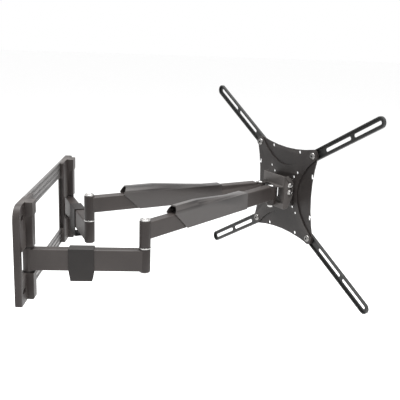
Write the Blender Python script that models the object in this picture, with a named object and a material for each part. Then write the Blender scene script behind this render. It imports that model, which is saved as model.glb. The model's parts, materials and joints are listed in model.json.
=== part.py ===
"""Full motion TV wall mount with two folding arms, a tilting head and four extension arms.

Metres, +Z up. The origin is on the wall, at the centre of the wall frame. X runs along the
wall and -Y points out into the room. Each swinging piece hangs under an empty whose Z axis
is its pivot, so turning the empty turns the piece.
"""
import math

import bmesh
import bpy
from mathutils import Vector
from mathutils.geometry import tessellate_polygon

GAP = 0.0003                 # between pieces that touch
PIN_CLEARANCE = 0.0003       # radial, pin to bore
OPEN_PIVOT_CLEARANCE = 0.0018  # radial, at the pivot where the linkage is opened
OVERCUT = 0.010                # how far a cutting tool reaches past the metal it cuts
SWING_GAP = 0.0005           # between faces that slide past each other

# Linkage, in plan
PIVOT_HALF = 0.200           # wall pivots, either side of the centre
PIVOT_OUT = 0.014            # wall pivots, in front of the wall
REAR_LENGTH = 0.228
FRONT_LENGTH = 0.436
HEAD_SPACING = 0.044
HEAD_TO_PLATE = 0.054        # head pins to the plate's rear face
REAR_LEFT_TURN = math.radians(-85.78)
FRONT_LEFT_TURN = math.radians(-37.954)
HEAD_TURN = math.radians(34.0)

# Wall frame
FRAME_HALF_HEIGHT = 0.100
MODULE_HALF = 0.057
MODULE_DEPTH = 0.013
MODULE_BACK = 0.003          # skin behind the hinge columns
MODULE_EDGE_RADIUS = 0.008
MODULE_TOP_RADIUS = 0.027
MODULE_FOOT_RADIUS = 0.005
WINDOW_HALF = 0.045
CHANNEL_LOW = -0.063         # recess in each module's inner end
CHANNEL_HIGH = 0.062
CHANNEL_SKIN = 0.0025
CHANNEL_LENGTH = 0.009
LAG_SLOT_OUT = 0.034
LAG_SLOT_UP = 0.074
LAG_SLOT_RADIUS = 0.0045
LAG_SLOT_LENGTH = 0.010
COLUMN_HALF = 0.0115
COLUMN_FRONT = 0.0263
COLUMN_BORE_DEPTH = 0.018
CAP_HEIGHT = 0.026
CAP_SHOULDER = 0.006
CAP_PROUD = 0.0017
CAP_EASE = 0.0012
COLUMN_FOOT_SLANT = 0.003
CROSSBAR_HEIGHT = 0.035
CROSSBAR_THICK = 0.005
CROSSBAR_INSERT = 0.030
CROSSBAR_GROOVE = 0.0015
CROSSBAR_GROOVE_HALF = 0.0025
CROSSBAR_GROOVE_PITCH = 0.011

# Arms
KNUCKLE_RADIUS = 0.0115
KNUCKLE_PROUD = 0.002        # past the tube, above and below
PIN_RADIUS = 0.006
PIN_HEAD_RADIUS = 0.009
PIN_HEAD_THICK = 0.0022
BUSH_THICK = 0.0024
BUSH_RADIUS = 0.0108
WASHER_RADIUS = 0.0122
TUBE_WIDTH = 0.022
TUBE_WALL = 0.0025
TUBE_CORNER = 0.0028
REAR_TUBE_LOW = -0.040
REAR_TUBE_HEIGHT = 0.044
FRONT_TUBE_LOW = 0.026
FRONT_TUBE_HEIGHT = 0.035
ELBOW_CAP_THICK = 0.0036
ELBOW_CAP_RADIUS = 0.0105
CLIP_START = 0.079
CLIP_LENGTH = 0.050
CLIP_WALL = 0.0022
CLIP_DROP = 0.021            # below the rear tube
CLIP_TAPER = 0.0035
COVER_START = 0.0755
COVER_PEAK = 0.084              # where the leaning rear end meets the ridge
COVER_RIDGE_MIDDLE = 0.150
COVER_FALL_START = 0.185
COVER_FALL_MIDDLE = 0.235
COVER_FALL_END = 0.285
COVER_END = 0.322
COVER_MOUTH_LOW = 0.114      # along the arm, where the slanted rear edge meets the tube's underside
COVER_WALL = 0.0022
COVER_RIDGE_RISE = 0.0170
COVER_FALL_RISE = 0.0138
COVER_LOW_RISE = 0.0088
COVER_TOE_RISE = 0.0045
COVER_BULGE = 0.0016            # how far the flanks swell beyond straight
COVER_TIP_RISE = 0.0010         # height of the rearmost point over the tube
COVER_RIDGE_HALF = 0.0055
COVER_SHOULDER_RISE = 0.003
COVER_SHOULDER_DROP = 0.0004     # shoulder below the ridge where the hood is lowest
COVER_SHOULDER_SHARE = 0.6       # share of the wall taken off the shoulder inside
COVER_ROOF_CLEARANCE = 0.0008

# Head
HEAD_PIN_RADIUS = 0.005
HEAD_EAR_RADIUS = 0.0110
HEAD_EAR_THICK = 0.003
HEAD_KNUCKLE_LOW = 0.016
HEAD_KNUCKLE_TOP = 0.055
HEAD_NOTCH = 0.017           # the front tube is lowered this far from the head pin
HEAD_CAP_RADIUS = 0.0078
HEAD_CAP_THICK = 0.0032
HEAD_NUT_RADIUS = 0.0075
HEAD_NUT_THICK = 0.0045
YOKE_HALF = 0.041
YOKE_LOW = 0.001
YOKE_HIGH = 0.081
YOKE_WALL = 0.003
YOKE_WEB_BACK = 0.024        # rear face of the web, in front of the head pins
YOKE_CHEEK_NOSE = 0.0095     # cheeks reach this far past the tilt pivot
YOKE_CHEEK_FOOT = 0.005      # and stop this far short of it at their ends
YOKE_SLOT_OFFSET = -0.015
YOKE_SLOT_HALF = 0.003
YOKE_SLOT_LOW = 0.027
YOKE_SLOT_HIGH = 0.056
TILT_PIVOT_BACK = 0.012      # behind the plate's rear face
TILT_PIVOT_UP = 0.042
TILT_DOWN_LIMIT = math.radians(15.0)
TILT_UP_LIMIT = math.radians(5.0)
TILT_BOLT_RADIUS = 0.003
TILT_LOCK_UP = 0.017         # lock bolt above the tilt pivot
TILT_HEX_RADIUS = 0.0062
TILT_HEX_THICK = 0.0048
TILT_NUT_THICK = 0.004
BRACKET_WALL = 0.0025
BRACKET_LOW = -0.039         # from the tilt pivot
BRACKET_HIGH = 0.030
BRACKET_EDGE = 0.003         # metal round the bolt holes
BRACKET_WINDOW_HALF = 0.027
BRACKET_WINDOW_LOW = -0.026
BRACKET_WINDOW_HIGH = 0.010

# Plate and extension arms
PLATE_UP = 0.041
PLATE_SHEET = 0.0025
PLATE_EMBOSS = 0.003         # the cross stands this far behind the pockets
VESA_HALF = 0.100
VESA_INNER_HALF = 0.050
VESA_SMALL_HALF = 0.0375
LOBE_RADIUS = 0.015
PLATE_WAIST_TOP = 0.103      # plate centre to its top and bottom edges, at the middle
PLATE_WAIST_SIDE = 0.099
CROSS_WAIST_TOP = 0.060      # the same, for the embossed cross
CROSS_WAIST_SIDE = 0.052
CROSS_INSET = 0.001          # from the plate's edge, round the lobes
VESA_HOLE_RADIUS = 0.0040
VESA_SMALL_HOLE_RADIUS = 0.0033
VESA_SLOT_HALF = 0.003
CORNER_SCREW_RADIUS = 0.004
CORNER_HEAD_RADIUS = 0.0082
CORNER_HEAD_THICK = 0.0036
CORNER_SOCKET_RADIUS = 0.0030
CORNER_SOCKET_DEPTH = 0.0022
CORNER_NUT_RADIUS = 0.008
ARM_LENGTH = 0.235           # corner screw to the arm's tip
ARM_HALF = 0.013
ARM_DEPTH = 0.006
ARM_FLOOR = 0.0025
ARM_RIM = 0.003
ARM_SPLAY = math.radians(29.0)
ARM_SLOT_HALF = 0.0042
ARM_SLOT_START = 0.038
ARM_SLOT_BRIDGE = 0.010
ARM_SLOT_END_MARGIN = 0.011

CORNERS = (("tl", 1, 1), ("tr", -1, 1), ("bl", 1, -1), ("br", -1, -1))

SIDES = 20
SMALL_SIDES = 12
CORNER_STEPS = 4

# Levels that follow from the sizes above
REAR_TUBE_TOP = REAR_TUBE_LOW + REAR_TUBE_HEIGHT
FRONT_TUBE_TOP = FRONT_TUBE_LOW + FRONT_TUBE_HEIGHT
KNUCKLE_LOW = REAR_TUBE_LOW - KNUCKLE_PROUD
KNUCKLE_TOP = REAR_TUBE_TOP + KNUCKLE_PROUD
STACK_GAP = BUSH_THICK + 2 * GAP
WINDOW_LOW = KNUCKLE_LOW - STACK_GAP
WINDOW_HIGH = KNUCKLE_TOP + STACK_GAP
FRONT_KNUCKLE_LOW = KNUCKLE_TOP + STACK_GAP
FRONT_KNUCKLE_TOP = FRONT_TUBE_TOP + KNUCKLE_PROUD
EAR_LOW_TOP = HEAD_KNUCKLE_LOW - SWING_GAP
EAR_LOW_BOTTOM = EAR_LOW_TOP - HEAD_EAR_THICK
EAR_HIGH_BOTTOM = HEAD_KNUCKLE_TOP + SWING_GAP
EAR_HIGH_TOP = EAR_HIGH_BOTTOM + HEAD_EAR_THICK
CHEEK_INNER = YOKE_HALF - YOKE_WALL
BRACKET_HALF = CHEEK_INNER - SWING_GAP
PLATE_REAR = -TILT_PIVOT_BACK
POCKET_REAR = PLATE_REAR - PLATE_EMBOSS
PLATE_FRONT = POCKET_REAR - PLATE_SHEET
PLATE_CENTRE_UP = PLATE_UP - TILT_PIVOT_UP
ARM_TOP = PLATE_FRONT - GAP

CHARCOAL = ("charcoal", (0.058, 0.049, 0.046), 0.42, 0.55)
LIGHT_GREY = ("rail_grey", (0.30, 0.29, 0.29), 0.40, 0.60)
DARK_PLASTIC = ("dark_plastic", (0.035, 0.032, 0.032), 0.50, 0.0)
NEAR_BLACK = ("arm_black", (0.026, 0.026, 0.027), 0.45, 0.50)
ZINC = ("zinc", (0.62, 0.61, 0.60), 0.28, 1.0)


def clear_scene():
    """Removes every object that the scene starts with."""
    for thing in list(bpy.data.objects):
        bpy.data.objects.remove(thing, do_unlink=True)


def finish_material(finish):
    """Gives the material of a finish, made once."""
    name, colour, roughness, metallic = finish
    found = bpy.data.materials.get(name)
    if found:
        return found
    made = bpy.data.materials.new(name)
    made.use_nodes = True
    shader = made.node_tree.nodes["Principled BSDF"]
    shader.inputs["Base Color"].default_value = (*colour, 1.0)
    shader.inputs["Roughness"].default_value = roughness
    shader.inputs["Metallic"].default_value = metallic
    made.diffuse_color = (*colour, 1.0)
    return made


def pivot(name, parent, location, turn=0.0):
    """Adds an empty on a joint's axis, turned about its own Z."""
    empty = bpy.data.objects.new(name, None)
    bpy.context.collection.objects.link(empty)
    empty.parent = parent
    empty.location = location
    empty.rotation_euler = (0.0, 0.0, turn)
    return empty


def piece(name, shape, finish, parent):
    """Turns a bmesh into a named object under its pivot."""
    mesh = bpy.data.meshes.new(name)
    bmesh.ops.recalc_face_normals(shape, faces=shape.faces)
    shape.to_mesh(mesh)
    shape.free()
    mesh.shade_smooth()
    mesh.set_sharp_from_angle(angle=math.radians(30))
    mesh.materials.append(finish_material(finish))
    made = bpy.data.objects.new(name, mesh)
    bpy.context.collection.objects.link(made)
    made.parent = parent
    return made


def combine(target, shape, operation):
    """Cuts, joins or intersects a piece with a guide shape given in the piece's own frame."""
    guide = piece(target.name + "_guide", shape, DARK_PLASTIC, target.parent)
    guide.hide_render = True
    guide.display_type = "WIRE"
    step = target.modifiers.new(operation.title(), "BOOLEAN")
    step.operation = operation
    step.object = guide


def merge(shapes):
    """Puts several separate guide shapes in one bmesh."""
    whole = bmesh.new()
    for shape in shapes:
        scratch = bpy.data.meshes.new("scratch")
        shape.to_mesh(scratch)
        shape.free()
        whole.from_mesh(scratch)
        bpy.data.meshes.remove(scratch)
    return whole


def arc(centre, radius, start, stop, steps):
    """Points along an arc, both ends included; angles in degrees."""
    points = []
    for index in range(steps + 1):
        angle = math.radians(start + (stop - start) * index / steps)
        points.append((centre[0] + radius * math.cos(angle), centre[1] + radius * math.sin(angle)))
    return points


def ring_points(centre, radius, sides=SIDES):
    """Points round a full circle."""
    return arc(centre, radius, 0.0, 360.0 * (sides - 1) / sides, sides - 1)


def slot_points(start, stop, half, steps=5):
    """Points round a slot with round ends, from one end's centre to the other's."""
    bearing = math.degrees(math.atan2(stop[1] - start[1], stop[0] - start[0]))
    near = arc(start, half, bearing + 90, bearing + 270, steps)
    far = arc(stop, half, bearing - 90, bearing + 90, steps)
    return near + far


def rounded_box(low, high, radii):
    """Points round a rectangle; radii run from the low corner anticlockwise."""
    corners = ((low[0], low[1], 1, 1, 180), (high[0], low[1], -1, 1, 270),
               (high[0], high[1], -1, -1, 0), (low[0], high[1], 1, -1, 90))
    points = []
    for (x, y, side_x, side_y, start), radius in zip(corners, radii):
        centre = (x + side_x * radius, y + side_y * radius)
        points += arc(centre, radius, start, start + 90, CORNER_STEPS)
    return points


def prism(outer, low, high, holes=(), plane="xy"):
    """Extrudes a flat outline with holes; plane names the outline's two axes."""
    def place(point, height):
        if plane == "xy":
            return point[0], point[1], height
        if plane == "xz":
            return point[0], height, point[1]
        return height, point[0], point[1]

    loops = [outer, *holes]
    flat = [Vector((*point, 0.0)) for loop in loops for point in loop]
    triangles = tessellate_polygon([[Vector((*point, 0.0)) for point in loop] for loop in loops])
    shape = bmesh.new()
    lower = [shape.verts.new(place(point, low)) for point in flat]
    upper = [shape.verts.new(place(point, high)) for point in flat]
    for corner in triangles:
        shape.faces.new([lower[index] for index in corner])
        shape.faces.new([upper[index] for index in reversed(corner)])
    first = 0
    for loop in loops:
        count = len(loop)
        for index in range(count):
            here = first + index
            after = first + (index + 1) % count
            shape.faces.new((lower[here], lower[after], upper[after], upper[here]))
        first += count
    return shape


def box(low, high):
    """A plain block between two corners."""
    outline = ((low[0], low[1]), (high[0], low[1]), (high[0], high[1]), (low[0], high[1]))
    return prism(outline, low[2], high[2])


def turned(profile, centre=(0.0, 0.0, 0.0), axis="z", sides=SIDES):
    """Turns a profile of (radius, height) points; a profile that leaves the axis is closed."""
    def place(radius, height, angle):
        across = radius * math.cos(angle)
        along = radius * math.sin(angle)
        spot = {"z": (across, along, height), "y": (across, height, along), "x": (height, across, along)}
        return Vector(spot[axis]) + Vector(centre)

    shape = bmesh.new()
    rings = []
    for radius, height in profile:
        count = 1 if radius == 0.0 else sides
        rings.append([shape.verts.new(place(radius, height, math.tau * step / sides))
                      for step in range(count)])
    pairs = list(zip(rings, rings[1:]))
    if profile[0][0] > 0.0:
        pairs.append((rings[-1], rings[0]))
    for one, two in pairs:
        for step in range(sides):
            after = (step + 1) % sides
            corners = [one[step % len(one)], one[after % len(one)],
                       two[after % len(two)], two[step % len(two)]]
            unique = list(dict.fromkeys(corners))
            if len(unique) > 2:
                shape.faces.new(unique)
    return shape


def cylinder(radius, low, high, centre=(0.0, 0.0, 0.0), axis="z", sides=SIDES):
    """A solid cylinder along one axis."""
    return turned(((0.0, low), (radius, low), (radius, high), (0.0, high)), centre, axis, sides)


def sleeve(outer, bore, low, high, centre=(0.0, 0.0, 0.0), chamfer=0.0006):
    """A bored cylinder along Z with its outer edges eased."""
    profile = ((bore, low), (outer - chamfer, low), (outer, low + chamfer),
               (outer, high - chamfer), (outer - chamfer, high), (bore, high))
    return turned(profile, centre)


def washer(outer, bore, low, high, centre):
    """A plain flat ring along Z."""
    return turned(((bore, low), (outer, low), (outer, high), (bore, high)), centre)


def loft(sections):
    """Joins equal rings of points into one closed solid."""
    shape = bmesh.new()
    rings = [[shape.verts.new(point) for point in section] for section in sections]
    for one, two in zip(rings, rings[1:]):
        for index in range(len(one)):
            after = (index + 1) % len(one)
            shape.faces.new((one[index], one[after], two[after], two[index]))
    shape.faces.new(rings[0])
    shape.faces.new(list(reversed(rings[-1])))
    bmesh.ops.triangulate(shape, faces=shape.faces)
    return shape


def direction(angle):
    """A unit vector in plan."""
    return Vector((math.cos(angle), math.sin(angle)))


def right_arm_turns():
    """Closes the linkage: the angles of the right rear and right front arms."""
    left_root = Vector((-PIVOT_HALF, -PIVOT_OUT))
    right_root = Vector((PIVOT_HALF, -PIVOT_OUT))
    left_elbow = left_root + REAR_LENGTH * direction(REAR_LEFT_TURN)
    left_head = left_elbow + FRONT_LENGTH * direction(FRONT_LEFT_TURN)
    right_head = left_head + HEAD_SPACING * direction(HEAD_TURN)
    reach = right_head - right_root
    cosine = (REAR_LENGTH ** 2 + reach.length_squared - FRONT_LENGTH ** 2)
    cosine /= 2 * REAR_LENGTH * reach.length
    rear = math.atan2(reach.y, reach.x) - math.acos(cosine)
    right_elbow = right_root + REAR_LENGTH * direction(rear)
    front = math.atan2(right_head.y - right_elbow.y, right_head.x - right_elbow.x)
    return rear, front


def module_shape(outward):
    """A wall module's body: a shallow moulded box, open where the arm passes."""
    edge = MODULE_HALF
    notch = COLUMN_HALF + GAP
    plan = [(-edge, 0.0), (-edge, -(MODULE_DEPTH - 0.002)), (-(edge - 0.002), -MODULE_DEPTH)]
    plan += [(-notch, -MODULE_DEPTH), (-notch, -MODULE_BACK), (notch, -MODULE_BACK), (notch, -MODULE_DEPTH)]
    plan += arc((edge - MODULE_EDGE_RADIUS, -(MODULE_DEPTH - MODULE_EDGE_RADIUS)),
                MODULE_EDGE_RADIUS, 270, 360, 6)
    plan += [(edge, 0.0)]
    plan = [(outward * x, y) for x, y in plan]
    return prism(plan, -FRAME_HALF_HEIGHT, FRAME_HALF_HEIGHT)


def module_outline(outward):
    """The module's front outline, with the arm window and the slots for wall screws."""
    small = MODULE_FOOT_RADIUS
    outline = rounded_box((-MODULE_HALF, -FRAME_HALF_HEIGHT), (MODULE_HALF, FRAME_HALF_HEIGHT),
                          (small, small, MODULE_TOP_RADIUS, small))
    window = [(-WINDOW_HALF, WINDOW_LOW), (WINDOW_HALF, WINDOW_LOW),
              (WINDOW_HALF, WINDOW_HIGH), (-WINDOW_HALF, WINDOW_HIGH)]
    slots = []
    for height in (-LAG_SLOT_UP, LAG_SLOT_UP):
        half = LAG_SLOT_LENGTH / 2
        slots.append(slot_points((LAG_SLOT_OUT - half, height), (LAG_SLOT_OUT + half, height), LAG_SLOT_RADIUS))
    loops = [outline, window, *slots]
    return [[(outward * x, z) for x, z in loop] for loop in loops]


def cap_shape(back):
    """The wider head of an upper column, on a slanted shoulder."""
    def ring(proud, height):
        wide = COLUMN_HALF + proud
        front = -COLUMN_FRONT - proud
        step = -(MODULE_DEPTH + GAP)
        narrow = min(wide, COLUMN_HALF)
        return [(x, y, height) for x, y in ((-wide, front), (wide, front), (wide, step), (narrow, step),
                                            (narrow, back), (-narrow, back), (-narrow, step), (-wide, step))]

    foot = FRAME_HALF_HEIGHT - CAP_HEIGHT - CAP_SHOULDER
    inset = 0.0005
    levels = ((-inset, foot), (CAP_PROUD, foot + CAP_SHOULDER), (CAP_PROUD, FRAME_HALF_HEIGHT - CAP_EASE),
              (CAP_PROUD - CAP_EASE, FRAME_HALF_HEIGHT))
    return loft([ring(*level) for level in levels])


def build_module(side, outward):
    """One wall module with its hinge columns, cap, pin and bushes."""
    root = pivot("wall_pivot_" + side, None, (outward * PIVOT_HALF, 0.0, 0.0))
    body = piece("wall_module_" + side, module_shape(outward), CHARCOAL, root)
    loops = module_outline(outward)
    combine(body, prism(loops[0], -0.1, 0.1, loops[1:], plane="xz"), "INTERSECT")
    inner = -outward * MODULE_HALF
    deep = inner + outward * CHANNEL_LENGTH
    past = inner - outward * OVERCUT
    combine(body, box((min(past, deep), -(MODULE_DEPTH - CHANNEL_SKIN), CHANNEL_LOW),
                      (max(past, deep), -CHANNEL_SKIN, CHANNEL_HIGH)), "DIFFERENCE")
    seat = inner + outward * (CROSSBAR_INSERT + GAP)
    for level in (-1, 1):
        low, high = sorted((level * (FRAME_HALF_HEIGHT - CROSSBAR_HEIGHT - GAP), level * 0.12))
        combine(body, box((min(past, seat), -(CROSSBAR_THICK + GAP), low), (max(past, seat), OVERCUT, high)),
                "DIFFERENCE")

    back = -(MODULE_BACK + GAP)
    half = COLUMN_HALF
    post = rounded_box((-half, -COLUMN_FRONT), (half, back), (0.0015, 0.0015, 0.0008, 0.0008))
    bore = ring_points((0.0, -PIVOT_OUT), PIN_RADIUS + PIN_CLEARANCE)
    upper = piece("column_upper_" + side, prism(post, WINDOW_HIGH, FRAME_HALF_HEIGHT - CAP_EASE), CHARCOAL, root)
    combine(upper, cap_shape(back), "UNION")
    combine(upper, prism(bore, WINDOW_HIGH - OVERCUT, WINDOW_HIGH + COLUMN_BORE_DEPTH), "DIFFERENCE")
    lower = piece("column_lower_" + side, prism(post, -FRAME_HALF_HEIGHT, WINDOW_LOW), CHARCOAL, root)
    combine(lower, prism(bore, WINDOW_LOW - COLUMN_BORE_DEPTH, WINDOW_LOW + OVERCUT), "DIFFERENCE")
    past_front = -COLUMN_FRONT - 0.001
    past_foot = -FRAME_HALF_HEIGHT - 0.001
    toe = ((past_front, past_foot), (-COLUMN_FRONT + COLUMN_FOOT_SLANT, past_foot),
           (past_front, -FRAME_HALF_HEIGHT + COLUMN_FOOT_SLANT))
    combine(lower, prism(toe, -half - OVERCUT, half + OVERCUT, plane="yz"), "DIFFERENCE")

    pin_low = WINDOW_LOW - COLUMN_BORE_DEPTH + 0.001
    pin_high = WINDOW_HIGH + COLUMN_BORE_DEPTH - 0.001
    place = (0.0, -PIVOT_OUT, 0.0)
    piece("wall_pin_" + side, cylinder(PIN_RADIUS, pin_low, pin_high, place), ZINC, root)
    for level, low in (("lower", WINDOW_LOW + GAP), ("upper", KNUCKLE_TOP + GAP)):
        bush = washer(BUSH_RADIUS, PIN_RADIUS + PIN_CLEARANCE, low, low + BUSH_THICK, place)
        piece("wall_bush_" + level + "_" + side, bush, DARK_PLASTIC, root)


def build_crossbars():
    """Two flat ribbed bars, trapped behind the modules, that tie them together."""
    reach = PIVOT_HALF - MODULE_HALF + CROSSBAR_INSERT
    for name, level in (("top", 1), ("bottom", -1)):
        middle = level * (FRAME_HALF_HEIGHT - CROSSBAR_HEIGHT / 2)
        half = CROSSBAR_HEIGHT / 2
        profile = [(0.0, middle - half), (0.0, middle + half), (-CROSSBAR_THICK, middle + half)]
        for step in (1, 0, -1):
            groove = middle + step * CROSSBAR_GROOVE_PITCH
            profile += [(-CROSSBAR_THICK, groove + CROSSBAR_GROOVE_HALF),
                        (-(CROSSBAR_THICK - CROSSBAR_GROOVE), groove + CROSSBAR_GROOVE_HALF - 0.001),
                        (-(CROSSBAR_THICK - CROSSBAR_GROOVE), groove - CROSSBAR_GROOVE_HALF + 0.001),
                        (-CROSSBAR_THICK, groove - CROSSBAR_GROOVE_HALF)]
        profile += [(-CROSSBAR_THICK, middle - half)]
        piece("crossbar_" + name, prism(profile, -reach, reach, plane="yz"), LIGHT_GREY, None)


def tube(name, length, low, height, finish, parent, end_radius):
    """A hollow arm tube along X, hollowed at both ends to sit against round knuckles."""
    half = TUBE_WIDTH / 2
    outer = rounded_box((-half, low), (half, low + height), (TUBE_CORNER,) * 4)
    inner_corner = max(TUBE_CORNER - TUBE_WALL, 0.0006)
    inner = rounded_box((-half + TUBE_WALL, low + TUBE_WALL), (half - TUBE_WALL, low + height - TUBE_WALL),
                        (inner_corner,) * 4)
    made = piece(name, prism(outer, 0.001, length - 0.001, [inner], plane="yz"), finish, parent)
    for x, radius in ((0.0, KNUCKLE_RADIUS), (length, end_radius)):
        saddle = cylinder(radius + GAP, low - OVERCUT, low + height + OVERCUT, (x, 0.0, 0.0))
        combine(made, saddle, "DIFFERENCE")
    return made


def build_clip(side, parent):
    """A cable clip that wraps the rear tube and leaves a channel below it."""
    inner = TUBE_WIDTH / 2 + GAP
    outer = inner + CLIP_WALL
    top = REAR_TUBE_TOP + GAP
    floor = REAR_TUBE_LOW - CLIP_DROP
    profile = rounded_box((-outer, floor), (outer, top + CLIP_WALL), (0.003, 0.003, 0.002, 0.002))
    hollow = [(-inner, floor + CLIP_WALL), (inner, floor + CLIP_WALL), (inner, top), (-inner, top)]
    end = CLIP_START + CLIP_LENGTH
    clip = piece("cable_clip_" + side, prism(profile, CLIP_START, end, [hollow], plane="yz"), DARK_PLASTIC, parent)
    waist = REAR_TUBE_LOW
    for edge, inward in ((CLIP_START, 1), (end, -1)):
        wedge = ((edge - inward * OVERCUT, floor - OVERCUT), (edge + inward * CLIP_TAPER, floor - OVERCUT),
                 (edge + inward * CLIP_TAPER, floor), (edge, waist), (edge - inward * OVERCUT, waist))
        combine(clip, prism(wedge, -outer - OVERCUT, outer + OVERCUT, plane="xz"), "DIFFERENCE")


def cover_section(along, top, foot, inset):
    """Ring of the hood at one place along the arm: upright sides, swelling flanks and a flat ridge."""
    half = TUBE_WIDTH / 2 + GAP + COVER_WALL - inset
    ridge = top - inset
    shoulder = min(FRONT_TUBE_TOP + COVER_SHOULDER_RISE, top - COVER_SHOULDER_DROP) - inset * COVER_SHOULDER_SHARE
    swell = COVER_BULGE * max(ridge - shoulder, 0.0) / COVER_RIDGE_RISE
    flank = [(half, shoulder)]
    for share in (1 / 3, 2 / 3):
        level = shoulder + share * (ridge - shoulder)
        flank.append((half + share * (COVER_RIDGE_HALF - half) + swell, level))
    flank.append((COVER_RIDGE_HALF, ridge))
    left = [(-y, z) for y, z in flank]
    outline = [(-half, foot), *left, *reversed(flank), (half, foot)]
    return [(along, y, z) for y, z in outline]


def build_cover(side, parent):
    """The moulded hood over the front tube, ridged, with a slanted open mouth at its rear."""
    profile = ((COVER_START, COVER_RIDGE_RISE), (COVER_RIDGE_MIDDLE, COVER_RIDGE_RISE),
               (COVER_FALL_START, COVER_FALL_RISE), (COVER_FALL_MIDDLE, COVER_LOW_RISE), (COVER_FALL_END, COVER_TOE_RISE),
               (COVER_END, COVER_ROOF_CLEARANCE + COVER_WALL))
    stations = [(along, FRONT_TUBE_TOP + rise) for along, rise in profile]
    outer = [cover_section(along, top, FRONT_TUBE_LOW, 0.0) for along, top in stations]
    hollow_stations = ((COVER_START - OVERCUT, stations[0][1]), *stations[1:-1],
                       (COVER_END + OVERCUT, stations[-1][1]))
    inner = [cover_section(along, top, FRONT_TUBE_LOW - OVERCUT, COVER_WALL) for along, top in hollow_stations]
    cover = piece("arm_cover_" + side, loft(outer), DARK_PLASTIC, parent)
    combine(cover, loft(inner), "DIFFERENCE")
    tip = COVER_START + GAP
    tip_level = FRONT_TUBE_TOP + COVER_TIP_RISE
    ridge_level = FRONT_TUBE_TOP + COVER_RIDGE_RISE
    wide = TUBE_WIDTH
    slant = (COVER_MOUTH_LOW - tip) / (tip_level - FRONT_TUBE_LOW)
    lean = (COVER_PEAK - tip) / (ridge_level - tip_level)
    behind = COVER_START - OVERCUT
    below = FRONT_TUBE_LOW - OVERCUT
    above = ridge_level + OVERCUT
    wedge = ((behind, below), (COVER_MOUTH_LOW + OVERCUT * slant, below), (tip, tip_level),
             (COVER_PEAK + OVERCUT * lean, above), (behind, above))
    combine(cover, prism(wedge, -wide, wide, plane="xz"), "DIFFERENCE")


def build_rear_arm(side, outward, turn):
    """Rear arm: root knuckle, tube, clip, elbow knuckle, pin and washer."""
    arm = pivot("rear_arm_" + side, None, (outward * PIVOT_HALF, -PIVOT_OUT, 0.0), turn)
    elbow = (REAR_LENGTH, 0.0, 0.0)
    bore = PIN_RADIUS + PIN_CLEARANCE
    piece("rear_root_knuckle_" + side, sleeve(KNUCKLE_RADIUS, bore, KNUCKLE_LOW, KNUCKLE_TOP), CHARCOAL, arm)
    tube("rear_tube_" + side, REAR_LENGTH, REAR_TUBE_LOW, REAR_TUBE_HEIGHT, CHARCOAL, arm, KNUCKLE_RADIUS)
    piece("rear_elbow_knuckle_" + side, sleeve(KNUCKLE_RADIUS, bore, KNUCKLE_LOW, KNUCKLE_TOP, elbow), CHARCOAL, arm)
    build_clip(side, arm)
    head_top = KNUCKLE_LOW - GAP
    shank_top = FRONT_KNUCKLE_TOP - 0.001
    pin = ((0.0, head_top - PIN_HEAD_THICK), (PIN_HEAD_RADIUS - 0.0005, head_top - PIN_HEAD_THICK),
           (PIN_HEAD_RADIUS, head_top - PIN_HEAD_THICK + 0.0005), (PIN_HEAD_RADIUS, head_top),
           (PIN_RADIUS, head_top), (PIN_RADIUS, shank_top), (0.0, shank_top))
    piece("elbow_pin_" + side, turned(pin, elbow), ZINC, arm)
    low = KNUCKLE_TOP + GAP
    piece("elbow_washer_" + side, washer(WASHER_RADIUS, bore, low, low + BUSH_THICK, elbow), ZINC, arm)
    return arm


def build_front_arm(side, rear_arm, turn, head_bore):
    """Front arm: elbow knuckle, cap, tube, cover and head knuckle."""
    arm = pivot("front_arm_" + side, rear_arm, (REAR_LENGTH, 0.0, 0.0), turn)
    bore = PIN_RADIUS + PIN_CLEARANCE
    piece("front_elbow_knuckle_" + side, sleeve(KNUCKLE_RADIUS, bore, FRONT_KNUCKLE_LOW, FRONT_KNUCKLE_TOP),
          CHARCOAL, arm)
    low = FRONT_KNUCKLE_TOP + GAP
    high = low + ELBOW_CAP_THICK
    rim = ELBOW_CAP_RADIUS
    cap = ((0.0, low), (rim, low), (rim, high - 0.0012), (rim - 0.0012, high), (0.0, high))
    piece("elbow_cap_" + side, turned(cap), ZINC, arm)
    front = tube("front_tube_" + side, FRONT_LENGTH, FRONT_TUBE_LOW, FRONT_TUBE_HEIGHT, CHARCOAL, arm,
                 KNUCKLE_RADIUS)
    notch_top = FRONT_TUBE_TOP + OVERCUT
    combine(front, box((FRONT_LENGTH - HEAD_NOTCH, -TUBE_WIDTH, HEAD_KNUCKLE_TOP),
                       (FRONT_LENGTH + OVERCUT, TUBE_WIDTH, notch_top)), "DIFFERENCE")
    piece("front_head_knuckle_" + side,
          sleeve(KNUCKLE_RADIUS, head_bore, HEAD_KNUCKLE_LOW, HEAD_KNUCKLE_TOP, (FRONT_LENGTH, 0.0, 0.0)),
          CHARCOAL, arm)
    build_cover(side, arm)
    return arm


def ear_outline():
    """Outline of the two ears that hold the head pins, with the pin holes."""
    radius = HEAD_EAR_RADIUS
    centre = HEAD_SPACING / 2
    neck = -(radius + 0.003)
    root = -(YOKE_WEB_BACK + YOKE_WALL / 2)
    outline = [(centre - CHEEK_INNER, root), (centre + CHEEK_INNER, root), (HEAD_SPACING + radius, neck)]
    outline += arc((HEAD_SPACING, 0.0), radius, 0, 180, 8)
    outline += [(HEAD_SPACING - radius, neck), (radius, neck)]
    outline += arc((0.0, 0.0), radius, 0, 180, 8)
    outline += [(-radius, neck)]
    bore = HEAD_PIN_RADIUS + PIN_CLEARANCE
    return outline, [ring_points((0.0, 0.0), bore, 16), ring_points((HEAD_SPACING, 0.0), bore, 16)]


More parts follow.
